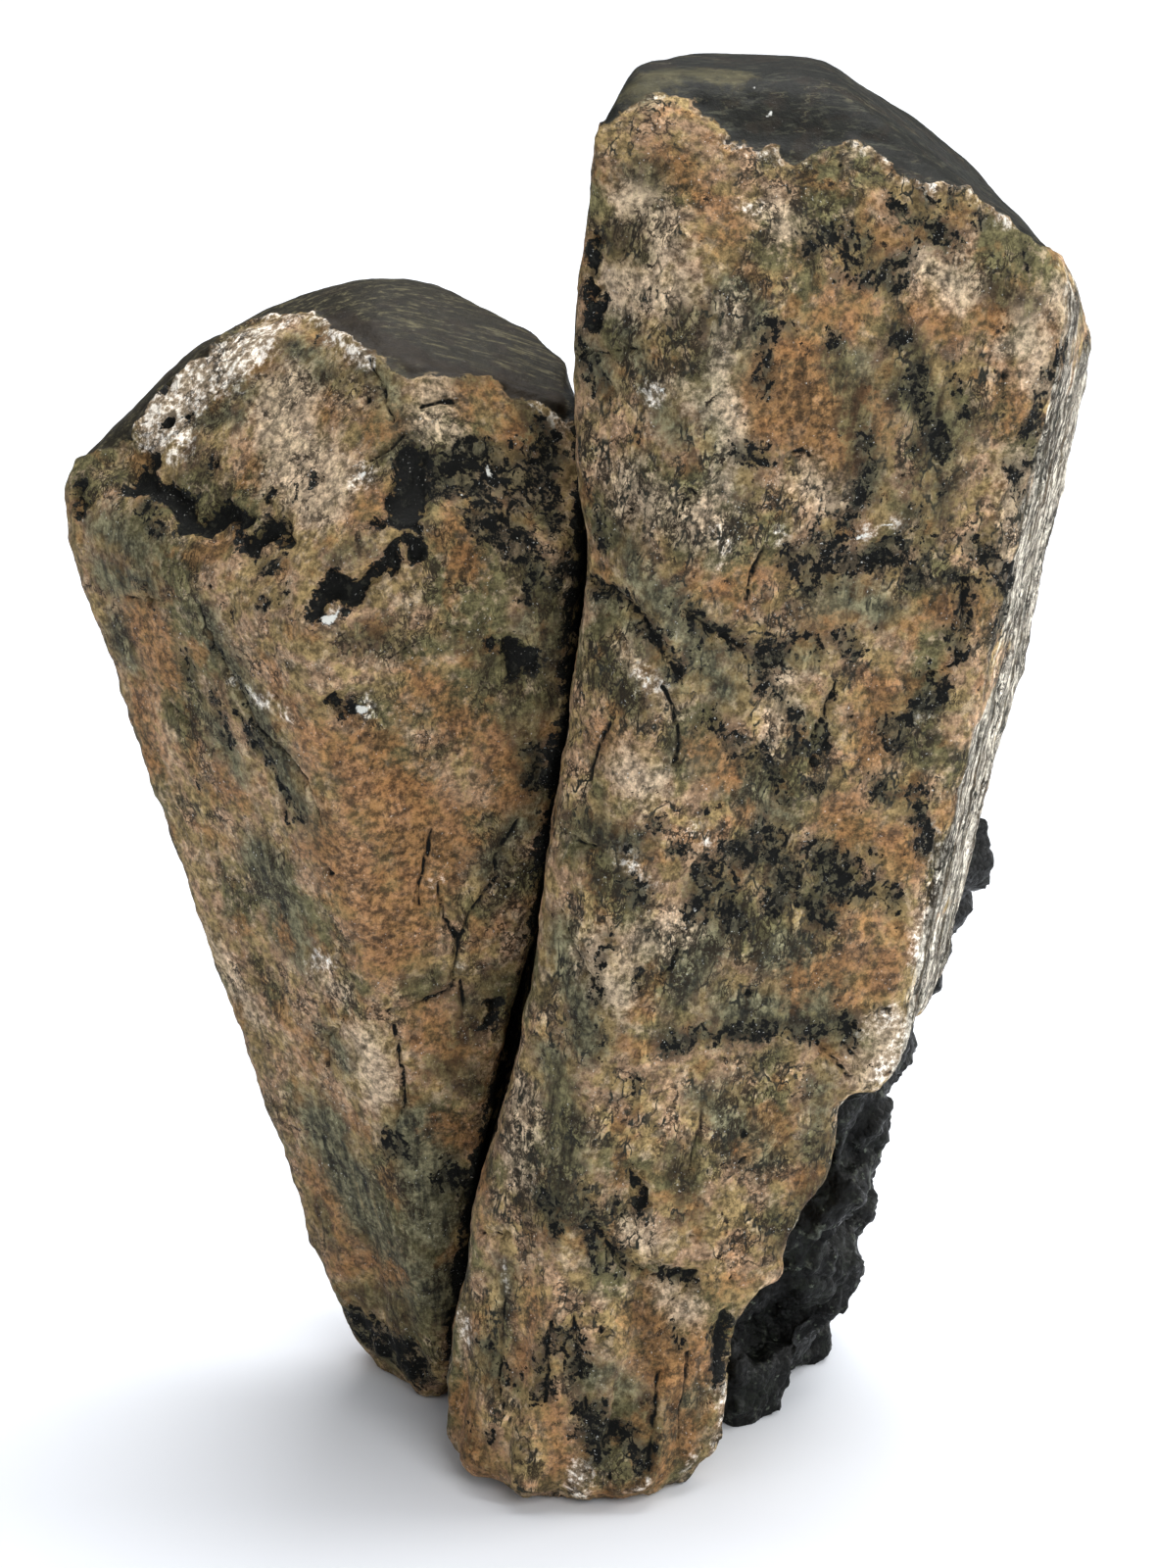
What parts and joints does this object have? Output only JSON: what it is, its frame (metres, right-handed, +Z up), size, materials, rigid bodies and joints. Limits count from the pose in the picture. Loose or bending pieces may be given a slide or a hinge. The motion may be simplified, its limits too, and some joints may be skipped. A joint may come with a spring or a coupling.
{
  "type": "willemite specimen",
  "caption": "Mineral specimen: stout worn willemite prisms grown together in a leaning V on a remnant of rugged black rock, standing upright on its level-cut base for display.",
  "frame": {"origin": "on the surface the specimen stands on, under the middle of its bounding box", "axes": "+Z up, -Y towards the front that shows the seam between the crystals, +X towards the tall crystal's lean"},
  "size_m": [0.0552, 0.0282, 0.0776],
  "materials": {
    "tall_crystal": "rough pink-tan crust mottled orange-brown, grey-green and black, over a smooth dark grey-green top",
    "short_crystal": "rough tan crust mottled orange-brown, grey-green and black, over a smooth dark grey-green top",
    "black_matrix": "rugged black rock with small shiny grains"
  },
  "bodies": {
    "root": {"tall_crystal": "tall_crystal", "short_crystal": "short_crystal", "black_matrix": "black_matrix"}
  },
  "joints": []
}
